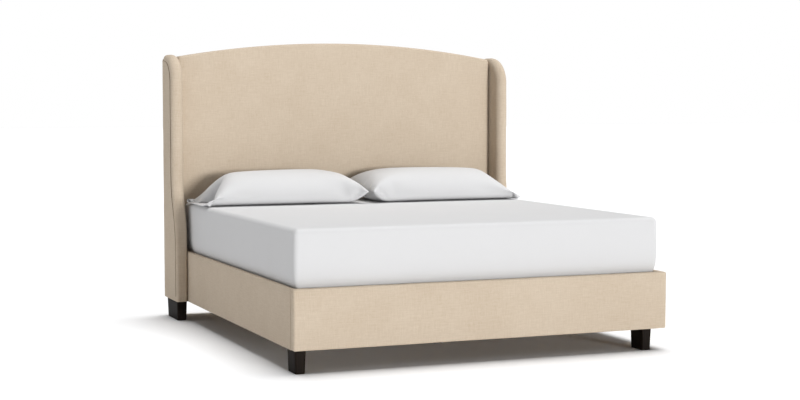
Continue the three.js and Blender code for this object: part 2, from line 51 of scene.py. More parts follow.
CAMERA_DIP = math.radians(3.68)
CAMERA_LENS = 69.92
SENSOR = 36.0

# Studio: a white floor and backdrop, an even glow, and suns as (direction, strength, spread in degrees)
FLOOR_REACH = 60.0
FLOOR_WHITE = (0.965, 0.970, 0.980)
WORLD_LIGHT = 0.14
WORLD_BACKDROP = 1.0
SUNS = {
    "overhead": ((0.17, 0.20, 1.00), 3.16, 44.0),
    "front": ((0.24, -1.00, 0.02), 3.55, 16.0),
    "left": ((-1.00, 0.16, 0.04), 0.60, 20.0),
}

# Linear colours
LINEN_PALE = (0.600, 0.512, 0.408)
LINEN_DEEP = (0.468, 0.374, 0.276)
# Seam thread colours, darker than the linen: partly the thread's own colour, partly painted shade along the
# seam
THREAD_AND_SHADE_PALE = (0.30, 0.23, 0.16)
THREAD_AND_SHADE_DEEP = (0.20, 0.15, 0.10)
COTTON_WHITE = (0.625, 0.625, 0.63)
ESPRESSO_PALE = (0.012, 0.007, 0.0045)
ESPRESSO_DEEP = (0.004, 0.0025, 0.0015)
PINE_PALE = (0.62, 0.44, 0.25)
PINE_DEEP = (0.42, 0.26, 0.12)
PLY_PALE = (0.52, 0.37, 0.21)
PLY_DEEP = (0.34, 0.22, 0.11)
LINING_GREY = (0.022, 0.022, 0.024)
STEEL_GREY = (0.045, 0.046, 0.050)
STAPLE_GREY = (0.42, 0.42, 0.43)
NYLON_BLACK = (0.018, 0.018, 0.019)
FOAM_CREAM = (0.72, 0.66, 0.46)
TICKING_WHITE = (0.72, 0.71, 0.68)

# Wings, in metres: the outline, the roll along its edge, the seam beside the roll, and the hem
WING_SET_BACK = 0.070
WING_SWEEP_START = 0.430
WING_SWEEP_END = 0.850
WING_TOP_RADIUS = 0.160
WING_BACK_EDGE = 0.007
WING_BACK_DROP = 0.034
WING_POINTS = {"lower": 12, "sweep": 22, "upper": 20, "turn": 40, "top": 5}
WING_SPLAY = {"left": 0.001, "right": 0.015}
WING_SWELL = 0.010
SWELL_SPAN = (0.05, 0.15)
ROLL_LOW = 0.018
ROLL_HIGH = 0.036
ROLL_EARLY = 0.05
ROLL_BULGE_LOW = 0.001
ROLL_BULGE_HIGH = 0.0014
ROLL_INNER_BULGE = 0.004
BULGE_FADE = 0.03
ROLL_SHARE = 0.45
BACK_SHARE = 0.2
ROLL_POINTS = 11
INNER_ROLL_POINTS = 8
PANEL_POINTS = 8
INNER_PANEL_POINTS = 13
SEAM_DEPTH = 0.0016
SEAM_THREAD = 0.0032
PANEL_ROOM = 0.024
PANEL_LEVEL = 0.0120
HEM_LIFT = 0.012

# How the outer panel leaves the seam, as (share of the seam's depth it has risen, distance past the roll)
PANEL_START = ((0.0, 0.0016), (0.75, 0.0022), (1.0, 0.0050), (1.0, PANEL_LEVEL))

# The rings that round a wing's under edge, as (distance in from the side, height above it)
WING_HEM = ((0.0045, 0.0), (0.0013, 0.0013), (0.0, 0.0045))

# Gathers where the roll turns over the wing's top. Starts and ends are angles round the turn.
GATHER_WIDTH = 0.050
GATHER_FADE = 0.012
GATHER_RISE = 0.25
GATHER_END = 1.35
GATHER_FALL = 0.5
GATHER_STEP = 0.013
GATHER_WANDER = 1.5
GATHER_DEPTH = 0.0012

# Foam under the wings' covers
FOAM_INSET = 0.003
FOAM_SHELL = 0.008
FOAM_LIFT = 0.008

# Headboard: its ripples are (size across, seed, height)
ARCH_RADIUS = 5.620
HEAD_EDGE = 0.014
HEAD_END_INSET = 0.05
HEAD_UNDER_DEPTH = 0.048
HEAD_UNDER_STRIP = 0.010
HEAD_BACK_EDGE = 0.004
HEAD_BACK_TURN = 0.020
HEAD_CROWN = 0.003
HEAD_COLUMNS = 61
HEAD_FACE_POINTS = 34
HEAD_RIPPLES = ((0.34, 12, 0.0016), (0.12, 5, 0.0005))

# Staples: their bends are (share of the half width, height off the cloth)
STAPLE_MARGIN = 0.014
STAPLE_STEP = 0.055
STAPLE_WIDTH = 0.011
STAPLE_WIRE = 0.0011
STAPLE_BENDS = ((-1.0, -0.0006), (-1.0, 0.0004), (-0.9, 0.0007), (0.9, 0.0007), (1.0, 0.0004), (1.0, -0.0006))

# Rails: each cover leaves room for its board, and turns in by a lip at the top and bottom
RAIL_EDGE = 0.009
RAIL_CROWN = 0.002
RAIL_STEP = 0.030
RAIL_LIP = 0.030
RAIL_END = 0.0245
SIDE_RAIL_CORNER = 0.002
SIDE_RAIL_EDGE = 0.004
SIDE_RAIL_SKIN = 0.012
BOARD_GAP = 0.0004
CUT_PAST_END = 0.05
CUT_PAST_BACK = 0.02
CUT_INTO_BOARD = 0.002
FACE_DEPTH = 0.004
SKIN = 0.002

# Legs
LEG_CORNER = 0.008
LEG_EDGE = 0.002
LEG_STEP = 0.02
LEG_TAPER = 0.0038

# Mattress and fitted sheet
MATTRESS_CORNER = 0.022
MATTRESS_EDGE = 0.024
MATTRESS_INSET = 0.002
MATTRESS_STEP = 0.06
MATTRESS_SWELL = 0.004
SIDE_ZONE = 0.05
SHEET_UNDER = 0.100
SHEET_TUCK = 0.024
TUCK_HEIGHT = 0.080
SHEET_THICK = 0.0012
SHEET_STEP = 0.035

# Edges of the plain parts that keep their CAD shape
SAWN_EDGE = 0.0015
PRESSED_EDGE = 0.0005

# Pillows: an oblong case, closed at the inner end and open at the outer one, over a filling
CASE_LENGTH = 0.990
CASE_WIDTH = 0.530
CASE_ROWS = 72
CASE_AROUND = 72
CASE_THICK = 0.0012
STUFFED_TO = 0.62
STUFFING_FADE = 0.36
STUFFING_VOLUME = 0.062
STUFFING_PRESSURE = 30.0
FIRST_THICKNESS = 0.05
PILLOW_DROP = 0.06
PILLOW_FRAMES = 60
PILLOW_OFFSET = 0.062
PILLOW_CENTRE_Y = 0.722
PILLOW_SINK = 0.002
CLOSED_END = 0.12
CLOSED_POWER = 0.6
LEAST_FILL = 0.08
HEM_OVERHANG = 0.03
HEM_ROW = CASE_ROWS - 7
HEM_DEPTH = 0.0012
HEM_TUCK = 0.012
HEM_TUCK_SPAN = (0.75, 0.93)
RELAX_STEPS = 30
RELAX_FROM = 0.10
RELAX_RISE = 0.20
RELAX_TO = 0.97
RELAX_FALL = 0.12
RELAX_AROUND = 0.2
RELAX_ALONG = 0.8
RELAX_PULL = 0.5
FILLING_TO = 0.80
FILLING_SIZE = 0.95
FILLING_DEPTH = 0.93
FILLING_ROUND = 0.14

# The surface under a pillow while it settles, from the case's inner end: X, Y and depth
FIRM_BED_START = -0.6
FIRM_BED_SIDES = (-1.5, 0.30)
FIRM_BED_DEPTH = 0.3


# ---------------- materials


class Surface:
    """A material under construction: one Principled shader and the nodes that feed it."""

    def __init__(self, name, roughness, **sockets):
        self.material = bpy.data.materials.new(name)
        self.material.use_nodes = True
        self.nodes = self.material.node_tree.nodes
        self.links = self.material.node_tree.links
        self.shader = self.nodes["Principled BSDF"]
        self.shader.inputs["Roughness"].default_value = roughness
        for key, value in sockets.items():
            self.shader.inputs[key.replace("_", " ")].default_value = value

    def add(self, kind, **settings):
        node = self.nodes.new(kind)
        for key, value in settings.items():
            setattr(node, key, value)
        return node

    def feed(self, socket, value):
        if isinstance(value, bpy.types.NodeSocket):
            self.links.new(value, socket)
        else:
            socket.default_value = value

    def math(self, operation, first, second=0.0, third=0.0):
        node = self.add("ShaderNodeMath", operation=operation)
        for socket, value in zip(node.inputs, (first, second, third)):
            self.feed(socket, value)
        return node.outputs[0]

    def mix(self, factor, first, second):
        node = self.add("ShaderNodeMix", data_type="RGBA")
        self.feed(node.inputs[0], factor)
        for socket, value in ((node.inputs[6], first), (node.inputs[7], second)):
            self.feed(socket, (*value, 1.0) if isinstance(value, tuple) else value)
        return node.outputs[2]

    def blend(self, factor, first, second):
        node = self.add("ShaderNodeMix", data_type="FLOAT")
        for index, value in ((0, factor), (2, first), (3, second)):
            self.feed(node.inputs[index], value)
        return node.outputs[0]

    def vector(self, x, y):
        node = self.add("ShaderNodeCombineXYZ")
        for socket, value in zip(node.inputs, (x, y)):
            self.feed(socket, value)
        return node.outputs[0]

    def noise(self, vector, scale, detail, roughness):
        node = self.add("ShaderNodeTexNoise")
        self.feed(node.inputs["Vector"], vector)
        node.inputs["Scale"].default_value = scale
        node.inputs["Detail"].default_value = detail
        node.inputs["Roughness"].default_value = roughness
        return node.outputs[0]

    def bump(self, height, distance, strength=1.0):
        node = self.add("ShaderNodeBump")
        node.inputs["Distance"].default_value = distance
        node.inputs["Strength"].default_value = strength
        self.feed(node.inputs["Height"], height)
        self.links.new(node.outputs[0], self.shader.inputs["Normal"])

    def colour(self, value):
        self.feed(self.shader.inputs["Base Color"], (*value, 1.0) if isinstance(value, tuple) else value)

    def plane_coordinates(self):
        """Two lengths along the surface, whichever way it faces, and the object coordinates themselves."""
        place = self.add("ShaderNodeTexCoord")
        where = self.add("ShaderNodeSeparateXYZ")
        facing = self.add("ShaderNodeSeparateXYZ")
        self.links.new(place.outputs["Object"], where.inputs[0])
        self.links.new(place.outputs["Normal"], facing.inputs[0])
        side = self.math("GREATER_THAN", self.math("ABSOLUTE", facing.outputs[0]), 0.7)
        flat = self.math("GREATER_THAN", self.math("ABSOLUTE", facing.outputs[2]), 0.7)
        across = self.blend(side, where.outputs[0], where.outputs[1])
        along = self.blend(flat, where.outputs[2], where.outputs[1])
        return across, along, place.outputs["Object"]


# How many times in a metre the yarn's unevenness repeats, across and along: two fine ways, two coarse
YARN_SCALES = ((45.0, 700.0), (700.0, 45.0), (14.0, 190.0), (190.0, 14.0))


def shade(colour, share):
    return tuple(part * share for part in colour)


def fabric(name, pale, deep, pitch, relief, slub, roughness, sheen):
    """Plain weave with uneven yarn. pitch is the thread spacing and relief the weave's height, in metres."""
    surface = Surface(name, roughness, Sheen_Weight=sheen, Sheen_Roughness=0.45, Specular_IOR_Level=0.25)
    across, along, place = surface.plane_coordinates()
    warp = surface.math("SINE", surface.math("MULTIPLY", across, math.pi / pitch))
    weft = surface.math("SINE", surface.math("MULTIPLY", along, math.pi / pitch))
    weave = surface.math("MULTIPLY_ADD", surface.math("MULTIPLY", warp, weft), 0.5, 0.5)
    shapes = []
    for scale_across, scale_along in YARN_SCALES:
        yarn_x = surface.math("MULTIPLY", across, scale_across)
        yarn_y = surface.math("MULTIPLY", along, scale_along)
        shapes.append(surface.noise(surface.vector(yarn_x, yarn_y), 1.0, 2.0, 0.6))
    fine = surface.math("ADD", shapes[0], shapes[1])
    coarse = surface.math("ADD", shapes[2], shapes[3])
    yarn = surface.math("MULTIPLY_ADD", surface.math("ADD", fine, coarse), slub, 0.5 - 2.0 * slub)
    mottle = surface.noise(place, 5.0, 3.0, 0.55)
    tone = surface.math("ADD", yarn, surface.math("MULTIPLY_ADD", mottle, 0.5, -0.25))
    tone = surface.math("MULTIPLY_ADD", weave, 0.25, surface.math("ADD", tone, -0.125))
    tone = surface.math("MINIMUM", surface.math("MAXIMUM", tone, 0.0), 1.0)
    surface.colour(surface.mix(tone, deep, pale))
    height = surface.math("MULTIPLY_ADD", fine, 0.6, surface.math("MULTIPLY", weave, 0.7))
    surface.bump(height, relief)
    return surface.material


def timber(name, pale, deep, roughness, ring, axis, shine=0.5):
    """Sawn wood with growth rings stretched along one axis and fine pores."""
    surface = Surface(name, roughness, Specular_IOR_Level=shine)
    place = surface.add("ShaderNodeTexCoord")
    mapping = surface.add("ShaderNodeMapping")
    surface.links.new(place.outputs["Object"], mapping.inputs[0])
    stretch = [1.0, 1.0, 1.0]
    stretch[axis] = 0.06
    mapping.inputs["Scale"].default_value = stretch
    warp = surface.noise(mapping.outputs[0], 6.0, 3.0, 0.6)
    wave = surface.add("ShaderNodeTexWave", wave_type="BANDS", bands_direction="DIAGONAL")
    surface.links.new(mapping.outputs[0], wave.inputs["Vector"])
    wave.inputs["Scale"].default_value = ring
    wave.inputs["Distortion"].default_value = 7.0
    wave.inputs["Detail"].default_value = 3.0
    pores = surface.noise(mapping.outputs[0], 420.0, 2.0, 0.7)
    tone = surface.math("MULTIPLY_ADD", wave.outputs["Fac"], 0.45, surface.math("MULTIPLY", warp, 0.45))
    tone = surface.math("MULTIPLY_ADD", pores, 0.25, tone)
    surface.colour(surface.mix(tone, deep, pale))
    surface.bump(surface.math("ADD", tone, pores), 0.0003, 0.6)
    return surface.material


def plain(name, colour, roughness, grain, relief, metallic=0.0, depth=0.35):
    """Moulded, cast or painted matter: one colour broken up by a fine grain."""
    surface = Surface(name, roughness, Metallic=metallic)
    place = surface.add("ShaderNodeTexCoord")
    speckle = surface.noise(place.outputs["Object"], grain, 4.0, 0.65)
    cloud = surface.noise(place.outputs["Object"], grain * 0.03, 3.0, 0.5)
    tone = surface.math("MULTIPLY_ADD", speckle, 0.6, surface.math("MULTIPLY", cloud, 0.4))
    darker = shade(colour, 1.0 - depth)
    lighter = tuple(min(1.0, part * (1.0 + depth)) for part in colour)
    surface.colour(surface.mix(tone, darker, lighter))
    surface.bump(speckle, relief)
    return surface.material


LINEN = fabric(
    "linen", LINEN_PALE, LINEN_DEEP, pitch=0.0011, relief=0.00040, slub=0.75, roughness=0.92, sheen=0.04
)
# The seam thread's material: its dark colour is partly the thread's own and partly painted shade of the
# seam's groove
THREAD_AND_SHADE = fabric(
    "seam_thread_and_shade", THREAD_AND_SHADE_PALE, THREAD_AND_SHADE_DEEP, pitch=0.0008, relief=0.0002, slub=0.5, roughness=0.95, sheen=0.0
)
COTTON = fabric(
    "cotton_percale", COTTON_WHITE, shade(COTTON_WHITE, 0.95),
    pitch=0.0005, relief=0.00008, slub=0.3, roughness=0.85, sheen=0.05,
)
TICKING = fabric(
    "mattress_ticking", TICKING_WHITE, shade(TICKING_WHITE, 0.8),
    pitch=0.0014, relief=0.0003, slub=0.4, roughness=0.9, sheen=0.1,
)
LINING = fabric(
    "black_lining", LINING_GREY, shade(LINING_GREY, 0.5),
    pitch=0.0007, relief=0.0002, slub=0.5, roughness=0.95, sheen=0.1,
)
WEBBING = fabric(
    "webbing", shade(LINING_GREY, 1.6), LINING_GREY,
    pitch=0.0016, relief=0.0005, slub=0.4, roughness=0.9, sheen=0.1,
)
ESPRESSO = timber("espresso_wood", ESPRESSO_PALE, ESPRESSO_DEEP, roughness=0.6, ring=60.0, axis=2, shine=0.08)
PINE_ACROSS = timber("pine_across", PINE_PALE, PINE_DEEP, roughness=0.62, ring=26.0, axis=0)
PINE_ALONG = timber("pine_along", PINE_PALE, PINE_DEEP, roughness=0.62, ring=26.0, axis=1)
PINE_UP = timber("pine_up", PINE_PALE, PINE_DEEP, roughness=0.62, ring=26.0, axis=2)
PLYWOOD = timber("plywood", PLY_PALE, PLY_DEEP, roughness=0.7, ring=12.0, axis=1)
STEEL = plain("black_steel", STEEL_GREY, roughness=0.42, grain=900.0, relief=0.00008, metallic=0.6)
STAPLE = plain(
    "staple_wire", STAPLE_GREY, roughness=0.3, grain=1500.0, relief=0.00003, metallic=1.0, depth=0.15
)
NYLON = plain("nylon", NYLON_BLACK, roughness=0.5, grain=1200.0, relief=0.0001)
FOAM = plain("foam", FOAM_CREAM, roughness=0.95, grain=700.0, relief=0.0006, depth=0.12)


# ---------------- mesh helpers


def shade_smooth(piece):
    for polygon in piece.data.polygons:
        polygon.use_smooth = True


def make_piece(name, points, faces, material, smooth=True):
    mesh = bpy.data.meshes.new(name)
    mesh.from_pydata([tuple(map(float, point)) for point in points], [], [tuple(face) for face in faces])
    mesh.materials.append(material)
    piece = bpy.data.objects.new(name, mesh)
    bpy.context.scene.collection.objects.link(piece)
    build = bmesh.new()
    build.from_mesh(mesh)
    bmesh.ops.remove_doubles(build, verts=build.verts, dist=1e-6)
    bmesh.ops.recalc_face_normals(build, faces=build.faces)
    build.to_mesh(mesh)
    build.free()
    if smooth:
        shade_smooth(piece)
    return piece


def modifier(piece, kind, **settings):
    made = piece.modifiers.new(kind.lower(), kind)
    for key, value in settings.items():
        setattr(made, key, value)
    return made


def bake_modifiers(piece):
    """The piece's mesh becomes what its modifiers make of it."""
    graph = bpy.context.evaluated_depsgraph_get()
    baked = bpy.data.meshes.new_from_object(piece.evaluated_get(graph), depsgraph=graph)
    piece.modifiers.clear()
    piece.data = baked


def read_points(piece):
    points = np.empty(len(piece.data.vertices) * 3)
    piece.data.vertices.foreach_get("co", points)
    return points.reshape(-1, 3)


def write_points(piece, points):
    piece.data.vertices.foreach_set("co", np.asarray(points, dtype=float).ravel())
    piece.data.update()


def read_normals(piece):
    normals = np.empty(len(piece.data.vertices) * 3)
    piece.data.vertices.foreach_get("normal", normals)
    return normals.reshape(-1, 3)


def smooth_noise(points, size, seed):
    """Noise from -1 to 1 whose features are about size across, at each point."""
    shift = Vector((seed * 17.3, seed * 7.1, seed * 3.7))
    return np.array([noise.noise(Vector(point) / size + shift) for point in points])


def soften(piece, amount, size, seed):
    """Moves the surface in and out a little, so that cloth over padding isn't dead flat."""
    points = read_points(piece)
    write_points(piece, points + read_normals(piece) * (smooth_noise(points, size, seed) * amount)[:, None])


def spaced(low, high, edge, step):
    """Coordinates from low to high, close within edge of either end and about step apart between."""
    near = [edge * part for part in (0.0, 0.25, 0.5, 0.75, 1.0)]
    count = max(2, int(round((high - low - 2 * edge) / step)))
    middle = np.linspace(low + edge, high - edge, count + 1)[1:-1]
    return np.array([low + part for part in near] + list(middle) + [high - part for part in reversed(near)])


def box_faces(xs, ys, zs):
    """The grid on a box's six faces, as points and quads."""
    index, points, faces = {}, [], []

    def key(i, j, k):
        if (i, j, k) not in index:
            index[i, j, k] = len(points)
            points.append((xs[i], ys[j], zs[k]))
        return index[i, j, k]

    nx, ny, nz = len(xs) - 1, len(ys) - 1, len(zs) - 1
    for i in range(nx):
        for j in range(ny):
            for k in (0, nz):
                faces.append((key(i, j, k), key(i + 1, j, k), key(i + 1, j + 1, k), key(i, j + 1, k)))
    for i in range(nx):
        for k in range(nz):
            for j in (0, ny):
                faces.append((key(i, j, k), key(i + 1, j, k), key(i + 1, j, k + 1), key(i, j, k + 1)))
    for j in range(ny):
        for k in range(nz):
            for i in (0, nx):
                faces.append((key(i, j, k), key(i, j + 1, k), key(i, j + 1, k + 1), key(i, j, k + 1)))
    return np.array(points), faces


def round_corner(first, second, radius):
    """Turns a square corner region into a round one. Both distances are measured inwards from the sides."""
    a = np.maximum(radius - first, 0.0)
    b = np.maximum(radius - second, 0.0)
    length = np.hypot(a, b)
    scale = np.where(length > 1e-9, np.maximum(a, b) / np.maximum(length, 1e-9), 1.0)
    inside = (a > 0) & (b > 0)
    return (
        np.where(inside, radius - a * scale, first),
        np.where(inside, radius - b * scale, second),
    )


def soft_box(name, low, high, corner, edge, step, material):
    """A box with round upright corners and round edges at the top and bottom."""
    low, high = np.array(low), np.array(high)
    wide = max(corner, edge)
    xs = spaced(low[0], high[0], wide, step)
    ys = spaced(low[1], high[1], wide, step)
    zs = spaced(low[2], high[2], edge, step)
    points, faces = box_faces(xs, ys, zs)
    middle, half = (low + high) / 2, (high - low) / 2
    sign = np.sign(points - middle)
    inset = half - np.abs(points - middle)
    x, y = round_corner(inset[:, 0], inset[:, 1], corner)
    z = inset[:, 2]
    near = (inset[:, 0] < corner) & (inset[:, 1] < corner)
    radial = np.stack([corner - x, corner - y], axis=1)
    reach = np.maximum(np.linalg.norm(radial, axis=1), 1e-9)
    to_side = np.where(near, corner - reach, np.minimum(x, y))
    rim, drop = round_corner(to_side, z, edge)
    push = rim - to_side
    along_x = np.where(near, radial[:, 0] / reach, (x <= y).astype(float))
    along_y = np.where(near, radial[:, 1] / reach, (y < x).astype(float))
    inset = np.stack([x + push * along_x, y + push * along_y, drop], axis=1)
    return make_piece(name, middle + sign * (half - inset), faces, material)


def cut_away(piece, low, high):
    """Takes a box out of a piece."""
    points, faces = box_faces(*[np.array([a, b]) for a, b in zip(low, high)])
    tool = make_piece("tool", points, faces, piece.data.materials[0], smooth=False)
    made = modifier(piece, "BOOLEAN", operation="DIFFERENCE", solver="EXACT")
    made.object = tool
    bake_modifiers(piece)
    bpy.data.objects.remove(tool)


def loft(name, rows, material):
    """Joins closed rows of points, one after another, into a skin with its two ends closed."""
    rows = np.array(rows)
    count, around = rows.shape[:2]
    faces = []
    for i in range(count - 1):
        for j in range(around):
            k = (j + 1) % around
            faces.append((i * around + j, i * around + k, (i + 1) * around + k, (i + 1) * around + j))
    faces.append(tuple(reversed(range(around))))
    faces.append(tuple((count - 1) * around + j for j in range(around)))
    return make_piece(name, rows.reshape(-1, 3), faces, material)


def wire(name, paths, thickness, material):
    """Round wire or thread along each of these paths, as one piece."""
    curve = bpy.data.curves.new(name, "CURVE")
    curve.dimensions = "3D"
    curve.bevel_depth = thickness / 2
    curve.bevel_resolution = 2
    curve.use_fill_caps = True
    for path in paths:
        path = np.asarray(path)
        line = curve.splines.new("POLY")
        line.points.add(len(path) - 1)
        line.points.foreach_set("co", np.hstack([path, np.ones((len(path), 1))]).ravel())
    drawn = bpy.data.objects.new("drawn", curve)
    bpy.context.scene.collection.objects.link(drawn)
    graph = bpy.context.evaluated_depsgraph_get()
    mesh = bpy.data.meshes.new_from_object(drawn.evaluated_get(graph), depsgraph=graph)
    bpy.data.objects.remove(drawn)
    mesh.materials.clear()
    mesh.materials.append(material)
    piece = bpy.data.objects.new(name, mesh)
    bpy.context.scene.collection.objects.link(piece)
    return piece


# ---------------- upholstery


def ease(value, start, end):
    """0 before start, 1 after end, smooth between."""
    part = min(1.0, max(0.0, (value - start) / (end - start)))
    return part * part * (3.0 - 2.0 * part)


def quarter(radius, count):
    """How far a rounded corner's points stand in from its two sides."""
    turn = np.linspace(0, math.pi / 2, count)
    return [(radius * (1 - math.sin(a)), radius * (1 - math.cos(a))) for a in turn]


def wing_front(low, high):
    """The wing's front edge and top edge in Y and Z, from the floor end round to the back."""
    lower, upper = low[1], low[1] + WING_SET_BACK
    middle = (WING_SWEEP_START + WING_SWEEP_END) / 2
    path = [(lower, z) for z in np.linspace(low[2], WING_SWEEP_START, WING_POINTS["lower"])[:-1]]
    for t in np.linspace(0, 1, WING_POINTS["sweep"])[:-1]:
        side = t * t * (3 - 2 * t)
        height = (1 - t) ** 3 * WING_SWEEP_START + 3 * t * (1 - t) * middle + t**3 * WING_SWEEP_END
        path.append((lower + (upper - lower) * side, height))
    turn = high[2] - WING_TOP_RADIUS
    path += [(upper, z) for z in np.linspace(WING_SWEEP_END, turn, WING_POINTS["upper"])[:-1]]
    for angle in np.linspace(0, math.pi / 2, WING_POINTS["turn"]):
        along, up = 1 - math.cos(angle), math.sin(angle)
        path.append((upper + WING_TOP_RADIUS * along, turn + WING_TOP_RADIUS * up))
    top = np.linspace(upper + WING_TOP_RADIUS, high[1] - WING_BACK_DROP, WING_POINTS["top"])
    path += [(y, high[2]) for y in top[1:]]
    return np.array(path)


def wing_back(high, front):
    """The point on the wing's back edge that each front point is joined to."""
    turn = high[2] - WING_TOP_RADIUS
    beyond = front[:, 1] >= turn
    steps = np.cumsum(np.r_[0, np.linalg.norm(np.diff(front, axis=0), axis=1)])
    start = steps[beyond][0]
    share = (steps - start) / (steps[-1] - start)
    height = np.where(beyond, turn + (high[2] - WING_BACK_DROP - turn) * share, front[:, 1])
    return np.stack([np.full(len(front), high[1]), height], axis=1)


def inward_normals(path):
    """Unit normals of a path in Y and Z that point to its right, which is into the wing."""
    run = np.gradient(path, axis=0)
    run /= np.linalg.norm(run, axis=1)[:, None]
    return np.stack([run[:, 1], -run[:, 0]], axis=1)


def wing_outer(roll, half, band, span):
    """The outer side of a wing's section, as (across, depth) from the nose to the back: roll, seam, panel."""
    past = math.acos(max(-1.0, 1.0 - (band - half + SEAM_DEPTH) / roll))
    arc = np.linspace(0.0, math.pi / 2 + past, ROLL_POINTS)
    points = [(band - roll + roll * math.sin(a), roll * (1.0 - math.cos(a))) for a in arc]
    seam = points[-1][1]
    room = min(1.0, (span - seam) / PANEL_ROOM)
    points += [(half - (1.0 - rise) * SEAM_DEPTH, seam + depth * room) for rise, depth in PANEL_START]
    points += [(half, depth) for depth in np.linspace(seam + PANEL_LEVEL * room, span, PANEL_POINTS)[1:]]
    return points


def wing_inner(roll, half, bulge, span):
    """The inner side of a wing's section, from the nose to the back. Its cloth swells more further back."""
    arc = np.linspace(0.0, math.pi / 2, INNER_ROLL_POINTS)
    points = [(half + bulge - roll + roll * math.sin(a), roll * (1.0 - math.cos(a))) for a in arc]
    for depth in np.linspace(roll, span, INNER_PANEL_POINTS)[1:]:
        past_roll = bulge * (1.0 - ease(depth, roll, roll + BULGE_FADE))
        swell = WING_SWELL * ease(depth, roll, span) * ease(span, *SWELL_SPAN)
        points.append((half + past_roll + swell, depth))
    return points


def wing_row(front, inward, back, half, rise):
    """One closed section of a wing, as (offset across, y, z)."""
    reach = front - back
    length = np.linalg.norm(reach)
    reach = reach / max(length, 1e-6)
    roll = ROLL_LOW + (ROLL_HIGH - ROLL_LOW) * rise
    band = half + ROLL_BULGE_LOW + (ROLL_BULGE_HIGH - ROLL_BULGE_LOW) * rise
    roll = min(roll, length * ROLL_SHARE, band, half + ROLL_INNER_BULGE * rise)
    edge = min(WING_BACK_EDGE, length * BACK_SHARE)
    turned = front + inward * roll
    finish = back + reach * edge
    span = roll + np.linalg.norm(finish - turned)
    direction = (finish - turned) / (span - roll)

    def place(across, depth):
        where = front + inward * depth if depth < roll else turned + direction * (depth - roll)
        return (across, *where)

    corner = quarter(edge, 4)[:-1]
    outer = [place(*point) for point in wing_outer(roll, half, band, span)]
    outer += [(half - side, *(back + reach * out)) for side, out in reversed(corner)]
    inner_half = half + WING_SWELL * ease(span, *SWELL_SPAN)
    inner = [place(*point) for point in wing_inner(roll, half, ROLL_INNER_BULGE * rise, span)]
    inner += [(inner_half - side, *(back + reach * out)) for side, out in reversed(corner)]
    return outer + [(-across, y, z) for across, y, z in reversed(inner)]


def wing_rows(side, sign, inset):
    """A wing's sections from the bottom of its front edge, up and over its top. inset shrinks them."""
    low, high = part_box(f"wing_cover_{side}")
    front = wing_front(low, high)
    back = wing_back(high, front)
    inward = inward_normals(front)
    middle, half = (low[0] + high[0]) / 2, (high[0] - low[0]) / 2 - inset
    depth = high[1] - low[1] - WING_SET_BACK
    rows = []
    for edge, into, tail in zip(front, inward, back):
        rise = ease(edge[1], WING_SWEEP_START - ROLL_EARLY, WING_SWEEP_END)
        near = edge + into * inset
        row = wing_row(near, into, tail - np.array([inset, 0.0]), half, rise)
        placed = []
        for across, y, z in row:
            lean = WING_SPLAY[side] * rise * min(1.0, max(0.0, (high[1] - y) / depth))
            placed.append((middle + sign * (across + lean), y, z))
        rows.append(placed)
    return np.array(rows)


def wing_hem(row, floor):
    """The rounded under edge of a wing, as rings below its first section."""
    centre = (row.min(axis=0) + row.max(axis=0)) / 2
    size = row.max(axis=0) - row.min(axis=0)
    rings = []
    for inset, lift in WING_HEM:
        ring = row.copy()
        for axis in (0, 1):
            ring[:, axis] = centre[axis] + (ring[:, axis] - centre[axis]) * (1 - 2 * inset / size[axis])
        ring[:, 2] = floor + lift
        rings.append(ring)
    return rings


def build_wing(side, sign):
    node = f"wing_cover_{side}"
    low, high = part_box(node)
    rows = wing_rows(side, sign, 0.0)
    rows[0, :, 2] = low[2] + HEM_LIFT
    piece = loft(f"wing_upholstery_{side}", [*wing_hem(rows[0], low[2]), *rows], LINEN)
    gather_roll(piece, low, high)
    soften(piece, amount=0.0009, size=0.11, seed=3 + sign)
    modifier(piece, "SUBSURF", levels=1, render_levels=1)
    modifier(piece, "SOLIDIFY", thickness=SKIN, offset=-1.0)
    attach(piece, "root")
    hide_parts(node)


def build_wing_seam(side, sign):
    """The dark thread along the seam, which is each section's first point after those of its roll. Its
    darkness is partly the thread's own colour and partly painted shade of the seam's groove.
    """
    rows = wing_rows(side, sign, 0.0)
    path = rows[1:, ROLL_POINTS]
    path[:, 0] += sign * SEAM_DEPTH
    thread = wire(f"wing_seam_{side}", [path], SEAM_THREAD, THREAD_AND_SHADE)
    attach(thread, "root")


def build_wing_foam(side, sign):
    """The layer of foam under a wing's cover, all round."""
    rows = wing_rows(side, sign, FOAM_INSET)
    rows[0, :, 2] += FOAM_LIFT
    foam = loft(f"wing_foam_{side}", rows, FOAM)
    modifier(foam, "SOLIDIFY", thickness=FOAM_SHELL, offset=-1.0)
    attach(foam, "root")
    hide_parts(f"wing_padding_{side}")


def gather_roll(piece, low, high):
    """Fine gathers where the front band turns over the top of the wing."""
    points = read_points(piece)
    normals = read_normals(piece)
    centre = np.array([low[1] + WING_SET_BACK + WING_TOP_RADIUS, high[2] - WING_TOP_RADIUS])
    arm = points[:, 1:] - centre
    angle = np.arctan2(arm[:, 1], -arm[:, 0])
    reach = np.linalg.norm(arm, axis=1)
    band = np.clip((reach - (WING_TOP_RADIUS - GATHER_WIDTH)) / GATHER_FADE, 0, 1)
    start = np.clip((angle + GATHER_RISE) / GATHER_RISE, 0, 1)
    end = np.clip((GATHER_END - angle) / GATHER_FALL, 0, 1)
    wander = smooth_noise(points, size=0.05, seed=9) * GATHER_WANDER
    phase = angle * WING_TOP_RADIUS / GATHER_STEP + wander
    fold = np.sin(phase * 2 * math.pi) * (0.5 + 0.5 * smooth_noise(points, size=0.03, seed=4))
    write_points(piece, points + normals * (fold * band * (start * end) * GATHER_DEPTH)[:, None])


def arch_height(x, top):
    return top - ARCH_RADIUS + math.sqrt(ARCH_RADIUS**2 - x * x)


